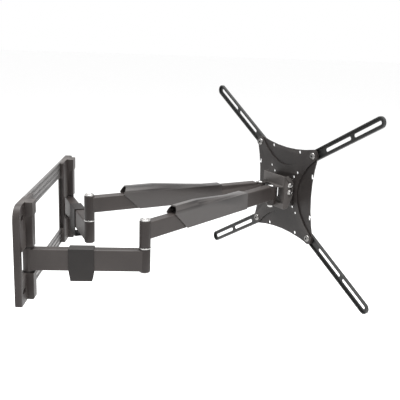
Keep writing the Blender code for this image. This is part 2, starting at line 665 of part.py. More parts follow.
def channel_outline(centre, half, wall, web, edge):
    """Plan of a channel whose web lies at y = web and whose flanges reach y = edge."""
    inside = web + math.copysign(wall, edge - web)
    return [(centre - half, web), (centre + half, web), (centre + half, edge), (centre + half - wall, edge),
            (centre + half - wall, inside), (centre - half + wall, inside), (centre - half + wall, edge),
            (centre - half, edge)]


def lock_slot():
    """The curved slot that a lock bolt travels in as the head tilts, about the tilt pivot."""
    clear = TILT_BOLT_RADIUS + PIN_CLEARANCE
    spare = 1.0
    front = 90 + math.degrees(TILT_DOWN_LIMIT) + spare
    rear = 90 - math.degrees(TILT_UP_LIMIT) - spare
    centre = (0.0, 0.0)
    front_end = arc(centre, TILT_LOCK_UP, front, front, 1)[0]
    rear_end = arc(centre, TILT_LOCK_UP, rear, rear, 1)[0]
    path = arc(centre, TILT_LOCK_UP + clear, rear, front, 4)
    path += arc(front_end, clear, front, front + 180, 5)[1:]
    path += arc(centre, TILT_LOCK_UP - clear, front, rear, 4)[1:]
    path += arc(rear_end, clear, rear + 180, rear + 360, 5)[1:-1]
    return path


def build_head(front_arm, turn):
    """The head yoke with its two pins and their nuts."""
    head = pivot("head", front_arm, (FRONT_LENGTH, 0.0, 0.0), turn)
    centre = HEAD_SPACING / 2
    pivot_y = -(HEAD_TO_PLATE - TILT_PIVOT_BACK)
    nose = pivot_y - YOKE_CHEEK_NOSE
    foot = pivot_y + YOKE_CHEEK_FOOT
    web = -YOKE_WEB_BACK
    plan = channel_outline(centre, YOKE_HALF, YOKE_WALL, web, nose)
    yoke = piece("head_yoke", prism(plan, YOKE_LOW, YOKE_HIGH), CHARCOAL, head)
    nose_low = TILT_PIVOT_UP - YOKE_CHEEK_NOSE
    nose_high = TILT_PIVOT_UP + TILT_LOCK_UP + YOKE_CHEEK_NOSE / 2
    past = OVERCUT
    sides = [(web + past, YOKE_LOW - past), (web + past, YOKE_HIGH + past), (foot, YOKE_HIGH + past),
             (foot, YOKE_HIGH), (nose, nose_high), (nose, nose_low), (foot, YOKE_LOW), (foot, YOKE_LOW - past)]
    reach = YOKE_HALF + past
    combine(yoke, prism(sides, centre - reach, centre + reach, plane="yz"), "INTERSECT")
    outline, holes = ear_outline()
    for low, high in ((EAR_LOW_BOTTOM, EAR_LOW_TOP), (EAR_HIGH_BOTTOM, EAR_HIGH_TOP)):
        combine(yoke, prism(outline, low, high, holes), "UNION")
    slot_x = centre + YOKE_SLOT_OFFSET
    slot = slot_points((slot_x, YOKE_SLOT_LOW + YOKE_SLOT_HALF), (slot_x, YOKE_SLOT_HIGH - YOKE_SLOT_HALF),
                       YOKE_SLOT_HALF)
    combine(yoke, prism(slot, web - YOKE_WALL - 0.001, web + 0.001, plane="xz"), "DIFFERENCE")
    combine(yoke, cylinder(TILT_BOLT_RADIUS + PIN_CLEARANCE, centre - reach, centre + reach,
                           (0.0, pivot_y, TILT_PIVOT_UP), "x", 16), "DIFFERENCE")
    lock = [(pivot_y + y, TILT_PIVOT_UP + z) for y, z in lock_slot()]
    combine(yoke, prism(lock, centre - reach, centre + reach, plane="yz"), "DIFFERENCE")

    for name, x in (("left", 0.0), ("right", HEAD_SPACING)):
        seat = EAR_HIGH_TOP + GAP
        top = seat + HEAD_CAP_THICK
        low = EAR_LOW_BOTTOM - GAP - HEAD_NUT_THICK - 0.001
        rim = HEAD_CAP_RADIUS
        pin = ((0.0, low), (HEAD_PIN_RADIUS, low), (HEAD_PIN_RADIUS, seat), (rim, seat), (rim, seat + 0.0012),
               (rim - 0.0022, top - 0.0004), (0.0, top))
        piece("head_pin_" + name, turned(pin, (x, 0.0, 0.0)), ZINC, head)
        high = EAR_LOW_BOTTOM - GAP
        nut = ring_points((x, 0.0), HEAD_NUT_RADIUS, 6)
        bore = ring_points((x, 0.0), HEAD_PIN_RADIUS + PIN_CLEARANCE, 16)
        piece("head_nut_" + name, prism(nut, high - HEAD_NUT_THICK, high, [bore]), ZINC, head)
    return head


def window_outline():
    """The opening through the bracket and the plate behind it."""
    return rounded_box((-BRACKET_WINDOW_HALF, BRACKET_WINDOW_LOW), (BRACKET_WINDOW_HALF, BRACKET_WINDOW_HIGH),
                       (0.004,) * 4)


def hex_bolt(inner, tip, side, level):
    """A hexagon-headed bolt along X, its head outside the inner face."""
    outer = inner + side * TILT_HEX_THICK
    shape = bmesh.new()
    rings = []
    for x, radius in ((outer, TILT_HEX_RADIUS * 0.86), (outer - side * 0.0009, TILT_HEX_RADIUS),
                      (inner, TILT_HEX_RADIUS), (inner, TILT_BOLT_RADIUS), (tip, TILT_BOLT_RADIUS)):
        ring = []
        for step in range(12):
            angle = math.tau * step / 12
            if radius != TILT_BOLT_RADIUS and step % 2 == 1:
                size = radius * math.cos(math.pi / 6)
            else:
                size = radius
            ring.append(shape.verts.new((x, size * math.cos(angle), level + size * math.sin(angle))))
        rings.append(ring)
    for one, two in zip(rings, rings[1:]):
        for index in range(12):
            after = (index + 1) % 12
            shape.faces.new((one[index], one[after], two[after], two[index]))
    shape.faces.new(rings[0])
    shape.faces.new(rings[-1])
    return shape


def build_bracket(tilt):
    """The channel welded to the plate, its weld nuts and the four tilt bolts."""
    web = PLATE_REAR + GAP
    clear = TILT_BOLT_RADIUS + PIN_CLEARANCE
    margin = clear + BRACKET_EDGE
    plan = channel_outline(0.0, BRACKET_HALF, BRACKET_WALL, web, margin)
    bracket = piece("tilt_bracket", prism(plan, BRACKET_LOW, BRACKET_HIGH), CHARCOAL, tilt)
    past = OVERCUT
    front = web - past
    inside = web + BRACKET_WALL
    sides = [(front, BRACKET_LOW - past), (inside, BRACKET_LOW - past), (inside, BRACKET_LOW), (0.0, -margin)]
    sides += arc((0.0, 0.0), margin, -60, 0, 3)
    sides += arc((0.0, TILT_LOCK_UP), margin, 0, 90, 4)
    sides += [(inside, BRACKET_HIGH), (inside, BRACKET_HIGH + past), (front, BRACKET_HIGH + past)]
    reach = BRACKET_HALF + past
    combine(bracket, prism(sides, -reach, reach, plane="yz"), "INTERSECT")
    combine(bracket, prism(window_outline(), web - 0.001, inside + 0.001, plane="xz"), "DIFFERENCE")
    nut_face = BRACKET_HALF - BRACKET_WALL
    for name, level in (("pivot", 0.0), ("lock", TILT_LOCK_UP)):
        for side_name, side in (("left", 1), ("right", -1)):
            ends = sorted((side * (nut_face + 0.001), side * (nut_face - TILT_NUT_THICK)))
            hexagon = ring_points((0.0, level), TILT_HEX_RADIUS, 6)
            combine(bracket, prism(hexagon, ends[0], ends[1], plane="yz"), "UNION")
            bolt = hex_bolt(side * (YOKE_HALF + GAP), side * (nut_face - TILT_NUT_THICK - 0.001), side, level)
            piece("tilt_" + name + "_bolt_" + side_name, bolt, ZINC, tilt)
        combine(bracket, cylinder(clear, -reach, reach, (0.0, 0.0, level), "x", 16), "DIFFERENCE")


def four_sided(top_mid, side_mid, lobe, lobe_start, steps):
    """An outline of four round lobes joined by hollow sides."""
    far = VESA_HALF
    spread = math.radians(lobe_start)
    shoulder_across = far - lobe * math.sin(spread)
    shoulder_up = far + lobe * math.cos(spread)
    quarter = arc((far, far), lobe, -lobe_start, 90 + lobe_start, 8)
    points = []
    for turn in range(4):
        middle = side_mid if turn % 2 == 0 else top_mid
        across = [shoulder_across * (2 * step / steps - 1) for step in range(1, steps)]
        edge = [(middle + (shoulder_up - middle) * (value / shoulder_across) ** 2, value) for value in across]
        angle = math.radians(90 * turn)
        for x, y in [*edge, *quarter]:
            points.append((x * math.cos(angle) - y * math.sin(angle), x * math.sin(angle) + y * math.cos(angle)))
    return points


def lift(points):
    """Moves an outline from the plate's centre to the tilt pivot's frame."""
    return [(x, z + PLATE_CENTRE_UP) for x, z in points]


def plate_holes():
    """The plate's holes: corner screws, three hole patterns and the middle window."""
    clear = CORNER_SCREW_RADIUS + PIN_CLEARANCE
    holes = []
    for _, x, z in CORNERS:
        holes.append(ring_points((x * VESA_HALF, z * VESA_HALF), clear, 16))
        holes.append(ring_points((x * VESA_INNER_HALF, z * VESA_HALF), VESA_HOLE_RADIUS, SMALL_SIDES))
        holes.append(ring_points((x * VESA_INNER_HALF, z * VESA_INNER_HALF), VESA_SMALL_HOLE_RADIUS, SMALL_SIDES))
        holes.append(ring_points((x * VESA_SMALL_HALF, z * VESA_SMALL_HALF), VESA_SMALL_HOLE_RADIUS, SMALL_SIDES))
        slot = [(x * VESA_HALF, z * VESA_INNER_HALF + step * VESA_SLOT_HALF) for step in (-1, 1)]
        holes.append(slot_points(slot[0], slot[1], VESA_SMALL_HOLE_RADIUS, 4))
    return [*(lift(hole) for hole in holes), window_outline()]


def build_plate(tilt):
    """The pressed plate: a thin sheet with an embossed cross, and its corner screws."""
    outline = lift(four_sided(PLATE_WAIST_TOP, PLATE_WAIST_SIDE, LOBE_RADIUS, 0, 6))
    lobe = LOBE_RADIUS - CROSS_INSET
    cross = lift(four_sided(CROSS_WAIST_TOP, CROSS_WAIST_SIDE, lobe, 20, 8))
    plate = piece("vesa_plate", prism(outline, PLATE_FRONT, POCKET_REAR, plane="xz"), CHARCOAL, tilt)
    combine(plate, prism(cross, PLATE_FRONT + 0.0005, PLATE_REAR, plane="xz"), "UNION")
    hollow = []
    for x, z in cross:
        centre_z = z - PLATE_CENTRE_UP
        size = math.hypot(x, centre_z)
        keep = (size - PLATE_SHEET) / size
        hollow.append((x * keep, centre_z * keep + PLATE_CENTRE_UP))
    combine(plate, prism(hollow, PLATE_FRONT - 0.001, PLATE_REAR - PLATE_SHEET, plane="xz"), "DIFFERENCE")
    drills = [prism(hole, PLATE_FRONT - 0.002, PLATE_REAR + 0.002, plane="xz") for hole in plate_holes()]
    combine(plate, merge(drills), "DIFFERENCE")
    for name, x, z in CORNERS:
        spot = (x * VESA_HALF, 0.0, z * VESA_HALF + PLATE_CENTRE_UP)
        seat = PLATE_REAR + GAP
        top = seat + CORNER_HEAD_THICK
        tip = ARM_TOP - ARM_DEPTH + 0.0008
        rim = CORNER_HEAD_RADIUS
        profile = ((0.0, tip), (CORNER_SCREW_RADIUS, tip), (CORNER_SCREW_RADIUS, seat), (rim, seat),
                   (rim, seat + 0.001), (rim * 0.8, top - 0.0006), (rim * 0.55, top), (CORNER_SOCKET_RADIUS, top),
                   (CORNER_SOCKET_RADIUS, top - CORNER_SOCKET_DEPTH), (0.0, top - CORNER_SOCKET_DEPTH))
        piece("corner_screw_" + name, turned(profile, spot, "y", 16), ZINC, tilt)


def build_extension_arm(name, tilt, side, level):
    """One slotted channel arm with its nut, hinged on a corner screw."""
    holder = bpy.data.objects.new("extension_pivot_" + name, None)
    bpy.context.collection.objects.link(holder)
    holder.parent = tilt
    holder.location = (side * VESA_HALF, 0.0, level * VESA_HALF + PLATE_CENTRE_UP)
    bearing = math.atan2(level * math.sin(ARM_SPLAY), side * math.cos(ARM_SPLAY))
    holder.rotation_euler = (0.0, -bearing, 0.0)
    far = ARM_LENGTH - ARM_HALF
    outline = slot_points((0.0, 0.0), (far, 0.0), ARM_HALF, 10)
    pocket = slot_points((0.0, 0.0), (far, 0.0), ARM_HALF - ARM_RIM, 10)
    last = ARM_LENGTH - ARM_SLOT_END_MARGIN
    middle = (ARM_SLOT_START + last) / 2
    bridge = ARM_SLOT_BRIDGE / 2
    half = ARM_SLOT_HALF
    slots = [slot_points((ARM_SLOT_START + half, 0.0), (middle - bridge - half, 0.0), half, 6),
             slot_points((middle + bridge + half, 0.0), (last - half, 0.0), half, 6)]
    screw_hole = ring_points((0.0, 0.0), CORNER_SCREW_RADIUS + PIN_CLEARANCE, 16)
    face = ARM_TOP - ARM_DEPTH
    arm = piece("extension_arm_" + name, prism(outline, face, ARM_TOP, [screw_hole, *slots], plane="xz"),
                NEAR_BLACK, holder)
    combine(arm, prism(pocket, face + ARM_FLOOR, ARM_TOP + OVERCUT, plane="xz"), "DIFFERENCE")
    top = PLATE_REAR - PLATE_SHEET - SWING_GAP
    low = face + ARM_FLOOR + GAP
    rim = CORNER_NUT_RADIUS
    bore = CORNER_SCREW_RADIUS + PIN_CLEARANCE
    profile = ((bore, low), (rim, low), (rim, top - 0.0006), (rim - 0.0006, top), (bore, top))
    piece("arm_nut_" + name, turned(profile, axis="y", sides=16), ZINC, holder)


def build_mount():
    """Builds the whole mount at rest."""
    clear_scene()
    for side, outward in (("left", -1), ("right", 1)):
        build_module(side, outward)
    build_crossbars()
    rear_right, front_right = right_arm_turns()
    left_rear = build_rear_arm("left", -1, REAR_LEFT_TURN)
    right_rear = build_rear_arm("right", 1, rear_right)
    left_bore = HEAD_PIN_RADIUS + PIN_CLEARANCE
    right_bore = HEAD_PIN_RADIUS + OPEN_PIVOT_CLEARANCE
    left_front = build_front_arm("left", left_rear, FRONT_LEFT_TURN - REAR_LEFT_TURN, left_bore)
    build_front_arm("right", right_rear, front_right - rear_right, right_bore)
    head = build_head(left_front, HEAD_TURN - FRONT_LEFT_TURN)
    pivot_y = -(HEAD_TO_PLATE - TILT_PIVOT_BACK)
    tilt = pivot("tilt", head, (HEAD_SPACING / 2, pivot_y, TILT_PIVOT_UP))
    build_bracket(tilt)
    build_plate(tilt)
    for name, side, level in CORNERS:
        build_extension_arm(name, tilt, side, level)


build_mount()
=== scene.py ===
# Visual model of a full motion TV wall mount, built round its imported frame.
import json
import logging
import math
from dataclasses import dataclass, field
from enum import Enum

import bmesh
import bpy
from mathutils import Matrix, Vector

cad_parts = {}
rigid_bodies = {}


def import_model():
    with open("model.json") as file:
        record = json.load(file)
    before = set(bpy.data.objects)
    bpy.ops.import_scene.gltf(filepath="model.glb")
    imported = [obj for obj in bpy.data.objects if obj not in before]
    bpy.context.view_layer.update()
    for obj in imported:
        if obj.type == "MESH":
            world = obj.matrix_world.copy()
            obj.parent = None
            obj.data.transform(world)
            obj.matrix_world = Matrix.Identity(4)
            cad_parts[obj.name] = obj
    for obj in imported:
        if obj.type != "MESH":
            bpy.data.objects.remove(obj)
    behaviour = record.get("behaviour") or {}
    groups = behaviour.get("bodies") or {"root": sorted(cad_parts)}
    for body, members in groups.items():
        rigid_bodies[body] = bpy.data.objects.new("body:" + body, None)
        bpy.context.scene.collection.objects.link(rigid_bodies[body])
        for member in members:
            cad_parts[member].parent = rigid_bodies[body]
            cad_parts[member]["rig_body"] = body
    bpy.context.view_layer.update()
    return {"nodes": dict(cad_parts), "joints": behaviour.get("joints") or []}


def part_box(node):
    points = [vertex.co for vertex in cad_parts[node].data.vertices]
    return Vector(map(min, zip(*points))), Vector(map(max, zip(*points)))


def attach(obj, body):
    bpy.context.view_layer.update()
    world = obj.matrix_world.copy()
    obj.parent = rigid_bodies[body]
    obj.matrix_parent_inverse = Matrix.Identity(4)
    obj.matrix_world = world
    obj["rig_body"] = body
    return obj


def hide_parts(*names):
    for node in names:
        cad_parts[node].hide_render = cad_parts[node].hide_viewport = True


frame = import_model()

LOG = logging.getLogger("tv_mount")
MM = 0.001
TURNS = 64
SHARP_ANGLE = 38.0  # degrees; wider folds keep a hard edge
FLAT_FROM = 6e-6  # square metres; wider faces of pressed sheet are shaded flat
MERGE_REACH = 0.002  # millimetres, for joining the loose corners of a copied solid
COPLANAR_ANGLE = 0.5  # degrees, below which two facets are one face
BUMP_DEPTH = 0.12  # millimetres
HEXAGON_STEPS = 48
HEAD_BORES = {"left": 5.3, "right": 6.85}  # the right pivot is the one with play


class Slot(Enum):
    """Material slots of the record that the finishes belong to."""

    FRAME = "frame_coat"
    RAIL = "crossbar_finish"
    CLIP = "clip_plastic"
    COVER = "cover_plastic"
    ARM = "arm_black"
    ZINC = "zinc_hardware"


@dataclass(frozen=True)
class Finish:
    """A surface finish, as a procedural shader on object coordinates.

    Grain sizes are counts per metre, so 1800 is a grain of about half a millimetre.
    """

    name: str
    slot: Slot
    shade: tuple[float, float, float]
    light: tuple[float, float, float]
    # Edge colour: wear, and also a painted highlight where rounded edges catch the light.
    wear_and_highlight: tuple[float, float, float]
    metallic: float
    rough_low: float
    rough_high: float
    grain: float
    bump: float
    stretch: tuple[float, float, float] = (1.0, 1.0, 1.0)
    gloss: float = 0.32

    def material(self) -> bpy.types.Material:
        """Gives the finish's material, made once.

        Returns:
            The material, with colour, edge wear and a painted edge highlight, roughness and bump from its
            nodes.
        """
        found = bpy.data.materials.get(self.name)
        if found:
            return found
        made = bpy.data.materials.new(self.name)
        made.use_nodes = True
        tree = made.node_tree
        shader = tree.nodes["Principled BSDF"]
        shader.inputs["Metallic"].default_value = self.metallic
        shader.inputs["Specular IOR Level"].default_value = self.gloss
        place = tree.nodes.new("ShaderNodeTexCoord")
        scale = tree.nodes.new("ShaderNodeMapping")
        scale.inputs["Scale"].default_value = self.stretch
        tree.links.new(place.outputs["Object"], scale.inputs["Vector"])
        cloud = self._noise(tree, place.outputs["Object"], 22.0, 3.0)
        grain = self._noise(tree, scale.outputs["Vector"], self.grain, 2.0)
        tone = self._mix(tree, cloud, self.shade, self.light, 0.35, 0.68)
        edge = tree.nodes.new("ShaderNodeNewGeometry")
        # Edges take the edge colour: wear plus a painted highlight.
        wear_and_highlight = self._paint_wear_and_highlight(tree, edge.outputs["Pointiness"], tone)
        tree.links.new(wear_and_highlight, shader.inputs["Base Color"])
        polish = tree.nodes.new("ShaderNodeMapRange")
        polish.inputs["From Min"].default_value = 0.3
        polish.inputs["From Max"].default_value = 0.7
        polish.inputs["To Min"].default_value = self.rough_low
        polish.inputs["To Max"].default_value = self.rough_high
        tree.links.new(grain, polish.inputs["Value"])
        tree.links.new(polish.outputs["Result"], shader.inputs["Roughness"])
        relief = tree.nodes.new("ShaderNodeBump")
        relief.inputs["Strength"].default_value = self.bump
        relief.inputs["Distance"].default_value = BUMP_DEPTH * MM
        tree.links.new(grain, relief.inputs["Height"])
        tree.links.new(relief.outputs["Normal"], shader.inputs["Normal"])
        return made

    @staticmethod
    def _noise(tree: bpy.types.NodeTree, vector: bpy.types.NodeSocket, scale: float,
               detail: float) -> bpy.types.NodeSocket:
        """Adds a noise texture and gives its value socket."""
        noise = tree.nodes.new("ShaderNodeTexNoise")
        noise.inputs["Scale"].default_value = scale
        noise.inputs["Detail"].default_value = detail
        tree.links.new(vector, noise.inputs["Vector"])
        return noise.outputs["Fac"]

    @staticmethod
    def _mix(tree: bpy.types.NodeTree, factor: bpy.types.NodeSocket, one: tuple[float, float, float],
             two: tuple[float, float, float], low: float, high: float) -> bpy.types.NodeSocket:
        """Adds a colour ramp between two colours and gives its colour socket."""
        ramp = tree.nodes.new("ShaderNodeValToRGB")
        ramp.color_ramp.elements[0].position = low
        ramp.color_ramp.elements[1].position = high
        ramp.color_ramp.elements[0].color = (*one, 1.0)
        ramp.color_ramp.elements[1].color = (*two, 1.0)
        tree.links.new(factor, ramp.inputs["Fac"])
        return ramp.outputs["Color"]

    def _paint_wear_and_highlight(self, tree: bpy.types.NodeTree, edge: bpy.types.NodeSocket,
              base: bpy.types.NodeSocket) -> bpy.types.NodeSocket:
        """Lightens the coat along its edges, as wear and as a painted highlight on rounded edges, and gives
        the colour socket.
        """
        reach = tree.nodes.new("ShaderNodeMapRange")
        reach.inputs["From Min"].default_value = 0.53
        reach.inputs["From Max"].default_value = 0.66
        reach.inputs["To Max"].default_value = 0.55
        tree.links.new(edge, reach.inputs["Value"])
        mix = tree.nodes.new("ShaderNodeMix")
        mix.data_type = "RGBA"
        mix.inputs[7].default_value = (*self.wear_and_highlight, 1.0)
        tree.links.new(reach.outputs["Result"], mix.inputs[0])
        tree.links.new(base, mix.inputs[6])
        return mix.outputs[2]


# The third colour of each finish is its edge colour: wear, and a painted highlight along rounded edges.
COAT = Finish("powder_coat_charcoal", Slot.FRAME, (0.0190, 0.0148, 0.0136), (0.0270, 0.0216, 0.0200),
              (0.095, 0.085, 0.080), 0.0, 0.38, 0.54, 1900.0, 0.30)
PLATE_COAT = Finish("powder_coat_plate", Slot.FRAME, (0.0115, 0.0092, 0.0086), (0.017, 0.0140, 0.0130),
                    (0.12, 0.11, 0.105), 0.0, 0.38, 0.52, 1900.0, 0.25)
RAIL_COAT = Finish("rail_satin_grey", Slot.RAIL, (0.056, 0.052, 0.051), (0.080, 0.074, 0.072),
                   (0.36, 0.35, 0.34), 0.5, 0.28, 0.42, 900.0, 0.25, (0.04, 1.0, 1.0))
CLIP_PLASTIC = Finish("clip_moulding", Slot.CLIP, (0.0085, 0.0070, 0.0064), (0.0125, 0.0105, 0.0097),
                      (0.05, 0.045, 0.045), 0.0, 0.50, 0.64, 1400.0, 0.40)
COVER_PLASTIC = Finish("cover_moulding", Slot.COVER, (0.0105, 0.0084, 0.0080), (0.0155, 0.0128, 0.0122),
                       (0.07, 0.063, 0.060), 0.0, 0.27, 0.36, 1600.0, 0.16, gloss=0.55)
ARM_COAT = Finish("powder_coat_black", Slot.ARM, (0.0070, 0.0074, 0.0070), (0.011, 0.0115, 0.011),
                  (0.14, 0.14, 0.14), 0.0, 0.32, 0.48, 1900.0, 0.28)
ZINC_PLATE = Finish("bright_zinc", Slot.ZINC, (0.46, 0.45, 0.44), (0.58, 0.57, 0.56),
                    (0.85, 0.85, 0.84), 1.0, 0.16, 0.30, 700.0, 0.10, gloss=0.5)
SCREW_ZINC = Finish("screw_zinc", Slot.ZINC, (0.17, 0.165, 0.16), (0.25, 0.245, 0.24),
                    (0.7, 0.7, 0.69), 1.0, 0.20, 0.34, 700.0, 0.12, gloss=0.5)
# A painted shadow for the inside of the screw sockets.
SOCKET_SHADOW = Finish("socket_shadow", Slot.ZINC, (0.04, 0.04, 0.04), (0.07, 0.07, 0.07),
                     (0.3, 0.3, 0.3), 1.0, 0.35, 0.5, 700.0, 0.2)


def joint_place(name: str) -> Vector:
    """Gives a joint's pivot in the frame."""
    for joint in frame["joints"]:
        if joint["name"] == name:
            return Vector(joint["pos_m"])
    raise KeyError(name)


def joint_axis(name: str) -> Vector:
    """Gives a joint's axis in the frame."""
    for joint in frame["joints"]:
        if joint["name"] == name:
            return Vector(joint["axis"])
    raise KeyError(name)


@dataclass(frozen=True)
class Place:
    """A local frame: an origin and three axes in the world."""

    origin: Vector
    across: Vector
    back: Vector
    up: Vector

    def matrix(self) -> Matrix:
        """Gives the matrix that takes local points to the world."""
        turn = Matrix((self.across, self.back, self.up)).transposed().to_4x4()
        return Matrix.Translation(self.origin) @ turn


def along(start: Vector, end: Vector) -> Place:
    """A level frame with its X axis from one pivot to another.

    Args:
        start: The origin.
        end: A point on the X axis, once it is level with the start.

    Returns:
        The frame, with Z up.
    """
    run = Vector((end.x - start.x, end.y - start.y, 0.0)).normalized()
    up = Vector((0.0, 0.0, 1.0))
    return Place(Vector((start.x, start.y, 0.0)), run, up.cross(run), up)


def plain_mesh(name: str, shape: bmesh.types.BMesh, finish: Finish, matrix: Matrix | None = None,
               sharp: float = SHARP_ANGLE) -> bpy.types.Object:
    """Makes a piece from a bmesh, its place in its mesh.

    Args:
        name: The piece's name.
        shape: The shape, which is freed.
        finish: Its finish.
        matrix: Where the shape goes, or None.
        sharp: Edges past this many degrees stay sharp.

    Returns:
        The new object.
    """
    if matrix is not None:
        shape.transform(matrix)
    bmesh.ops.recalc_face_normals(shape, faces=shape.faces)
    mesh = bpy.data.meshes.new(name)
    shape.to_mesh(mesh)
    shape.free()
    mesh.shade_smooth()
    mesh.set_sharp_from_angle(angle=math.radians(sharp))
    mesh.materials.append(finish.material())
    made = bpy.data.objects.new(name, mesh)
    bpy.context.scene.collection.objects.link(made)
    return made


def settle(piece: bpy.types.Object, finish: Finish, body: str, *nodes: str) -> bpy.types.Object:
    """Hands a finished piece to its body.

    Args:
        piece: The piece.
        finish: Its finish; not used.
        body: The body that it rides on.
        nodes: The nodes that it stands for.

    Returns:
        The piece.
    """
    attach(piece, body)
    if nodes:
        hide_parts(*nodes)
    LOG.info("%s rides on %s", piece.name, body)
    return piece


def eased(node: str, finish: Finish, width: float = 0.7, segments: int = 2,
          sharp_from: float = 30.0, flat: bool = False) -> bpy.types.Object:
    """Copies a node's solid with its coplanar facets joined and its edges rounded.

    Args:
        node: The node to copy.
        finish: The finish of the copy.
        width: The rounding, in millimetres.
        segments: Facets across the rounding.
        sharp_from: Edges past this many degrees are rounded.
        flat: Whether the wide faces are shaded flat, as on pressed sheet.

    Returns:
        The copy, settled on the node's body in the node's stead.
    """
    shape = bmesh.new()
    shape.from_mesh(frame["nodes"][node].data)
    bmesh.ops.remove_doubles(shape, verts=shape.verts, dist=MERGE_REACH * MM)
    bmesh.ops.dissolve_limit(shape, angle_limit=math.radians(COPLANAR_ANGLE), verts=shape.verts,
                             edges=shape.edges)
    limit = math.radians(sharp_from)
    edges = [edge for edge in shape.edges if len(edge.link_faces) == 2 and edge.calc_face_angle() > limit]
    if width > 0.0:
        bmesh.ops.bevel(shape, geom=edges, offset=width * MM, offset_type="OFFSET", segments=segments,
                        profile=0.5, affect="EDGES", clamp_overlap=True)
    bmesh.ops.remove_doubles(shape, verts=shape.verts, dist=0.001 * MM)
    made = plain_mesh(node + "_skin", shape, finish)
    if flat:
        for face in made.data.polygons:
            face.use_smooth = face.area < FLAT_FROM
    else:
        weigh = made.modifiers.new("Even shading", "WEIGHTED_NORMAL")
        weigh.keep_sharp = True
        bake_modifiers(made)
    return settle(made, finish, frame["nodes"][node]["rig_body"], node)


def bake_modifiers(made: bpy.types.Object) -> None:
    """Turns an object's modifiers into plain mesh."""
    graph = bpy.context.evaluated_depsgraph_get()
    graph.update()
    mesh = bpy.data.meshes.new_from_object(made.evaluated_get(graph), preserve_all_data_layers=True,
                                           depsgraph=graph)
    made.modifiers.clear()
    old = made.data
    made.data = mesh
    bpy.data.meshes.remove(old)
    mesh.name = made.name


def lathe(profile: list[tuple[float, float]], turns: int = TURNS) -> bmesh.types.BMesh:
    """Turns a profile round Z.

    Args:
        profile: Points of radius and height in millimetres. One that leaves the axis is closed.
        turns: Facets round the piece.

    Returns:
        The turned shape.
    """
    shape = bmesh.new()
    rings = []
    for radius, height in profile:
        count = 1 if radius == 0.0 else turns
        rings.append([shape.verts.new((radius * MM * math.cos(math.tau * step / turns),
                                       radius * MM * math.sin(math.tau * step / turns), height * MM))
                      for step in range(count)])
    pairs = list(zip(rings, rings[1:]))
    if profile[0][0] > 0.0:
        pairs.append((rings[-1], rings[0]))
    for one, two in pairs:
        for step in range(turns):
            after = (step + 1) % turns
            ring = [one[step % len(one)], one[after % len(one)], two[after % len(two)], two[step % len(two)]]
            corners = list(dict.fromkeys(ring))
            if len(corners) > 2:
                shape.faces.new(corners)
    return shape


def round_over(outer: float, low: float, high: float, radius: float,
               steps: int = 4) -> list[tuple[float, float]]:
    """Profile points up the outside of a turned piece with both edges rounded, in millimetres."""
    points = []
    for step in range(steps + 1):
        angle = math.radians(-90 + 90 * step / steps)
        points.append((outer - radius + radius * math.cos(angle), low + radius + radius * math.sin(angle)))
    for step in range(steps + 1):
        angle = math.radians(90 * step / steps)
        points.append((outer - radius + radius * math.cos(angle), high - radius + radius * math.sin(angle)))
    return points


def upright(node: str) -> tuple[Vector, float, float, float]:
    """Centre, radius and levels of a round upright node.

    Args:
        node: The node's name.

    Returns:
        The centre at height zero, and the radius, low level and high level in millimetres.
    """
    low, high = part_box(node)
    centre = Vector(((low.x + high.x) / 2, (low.y + high.y) / 2, 0.0))
    radius = max(high.x - low.x, high.y - low.y) / 2 / MM
    return centre, radius, low.z / MM, high.z / MM


def ring_piece(node: str, finish: Finish, bore: float, edge: float = 0.8) -> bpy.types.Object:
    """Makes a bored round piece in place of an upright node.

    Args:
        node: The node it stands for.
        finish: Its finish.
        bore: The radius of its bore, in millimetres.
        edge: The rounding of its outer edges, in millimetres.

    Returns:
        The settled piece.
    """
    centre, radius, low, high = upright(node)
    profile = [(bore, low), *round_over(radius, low, high, edge), (bore, high)]
    made = plain_mesh(node + "_turned", lathe(profile), finish, Matrix.Translation(centre))
    return settle(made, finish, frame["nodes"][node]["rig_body"], node)


